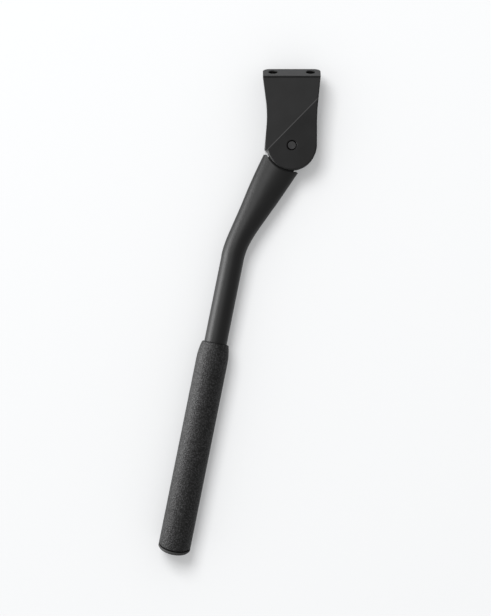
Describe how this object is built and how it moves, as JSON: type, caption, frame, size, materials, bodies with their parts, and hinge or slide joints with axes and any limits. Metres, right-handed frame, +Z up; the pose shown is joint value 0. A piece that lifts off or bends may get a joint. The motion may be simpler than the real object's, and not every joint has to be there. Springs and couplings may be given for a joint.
{
  "type": "bicycle kickstand",
  "caption": "Rear side stand for a bicycle: clevis head with two threads in its mounting face, swinging bent leg with detents, and a foot sleeve of adjustable length.",
  "frame": {"origin": "midway between the two screw holes, on the mounting face", "axes": "+Z up, square to the mounting face and towards the bicycle's frame; +X towards the rear of the bicycle, along the line of the two screw holes; -Y outwards, away from the wheel"},
  "size_m": [0.0779, 0.1056, 0.2105],
  "materials": {
    "head_finish": "black anodised, fine bead-blasted satin",
    "leg_finish": "black anodised, satin",
    "pin_steel": "blackened, turned end",
    "spring_steel": "dark phosphate",
    "hard_steel": "dark zinc plated",
    "bearing_polymer": "natural bearing plastic",
    "insert_brass": "turned",
    "sleeve_plastic": "black, fine granular moulded texture",
    "sole_rubber": "matt black"
  },
  "bodies": {
    "head": {"mount_head": "head_finish", "pivot_pin": "pin_steel", "pivot_pin_clip": "spring_steel", "outer_thrust_washer": "bearing_polymer", "inner_thrust_washer": "bearing_polymer", "detent_spring": "spring_steel", "spring_seat": "hard_steel"},
    "plunger": {"detent_plunger": "hard_steel"},
    "leg": {"leg": "leg_finish", "knuckle_bush": "bearing_polymer", "thread_insert": "insert_brass", "guide_ring": "bearing_polymer"},
    "foot": {"foot_sleeve": "sleeve_plastic", "adjuster_washer": "hard_steel", "retaining_ring": "spring_steel", "sole_pad": "sole_rubber"},
    "adjuster": {"adjuster_screw": "hard_steel"}
  },
  "joints": [
    {"name": "leg_swing", "type": "hinge", "parent": "head", "child": "leg", "pos_m": [0, -0.01179, -0.03345], "axis": [0, -0.9063, 0.4226], "range_deg": [0, 96]},
    {"name": "plunger_stroke", "type": "slide", "parent": "head", "child": "plunger", "axis": [0, -0.4226, -0.9063], "range_m": [0, 0.0012], "stiffness_N_per_m": 2500, "springref_m": 0.004},
    {"name": "foot_slide", "type": "slide", "parent": "leg", "child": "foot", "axis": [-0.1977, -0.4143, -0.8884], "range_m": [-0.01, 0.02]},
    {"name": "adjuster_turn", "type": "hinge", "parent": "foot", "child": "adjuster", "pos_m": [-0.03667, -0.05192, -0.11951], "axis": [-0.1977, -0.4143, -0.8884], "range_deg": [-3600, 7200]}
  ],
  "couplings": [
    {"joint": "adjuster_turn", "follows": "foot_slide", "rad_per_m": 6283.2}
  ]
}
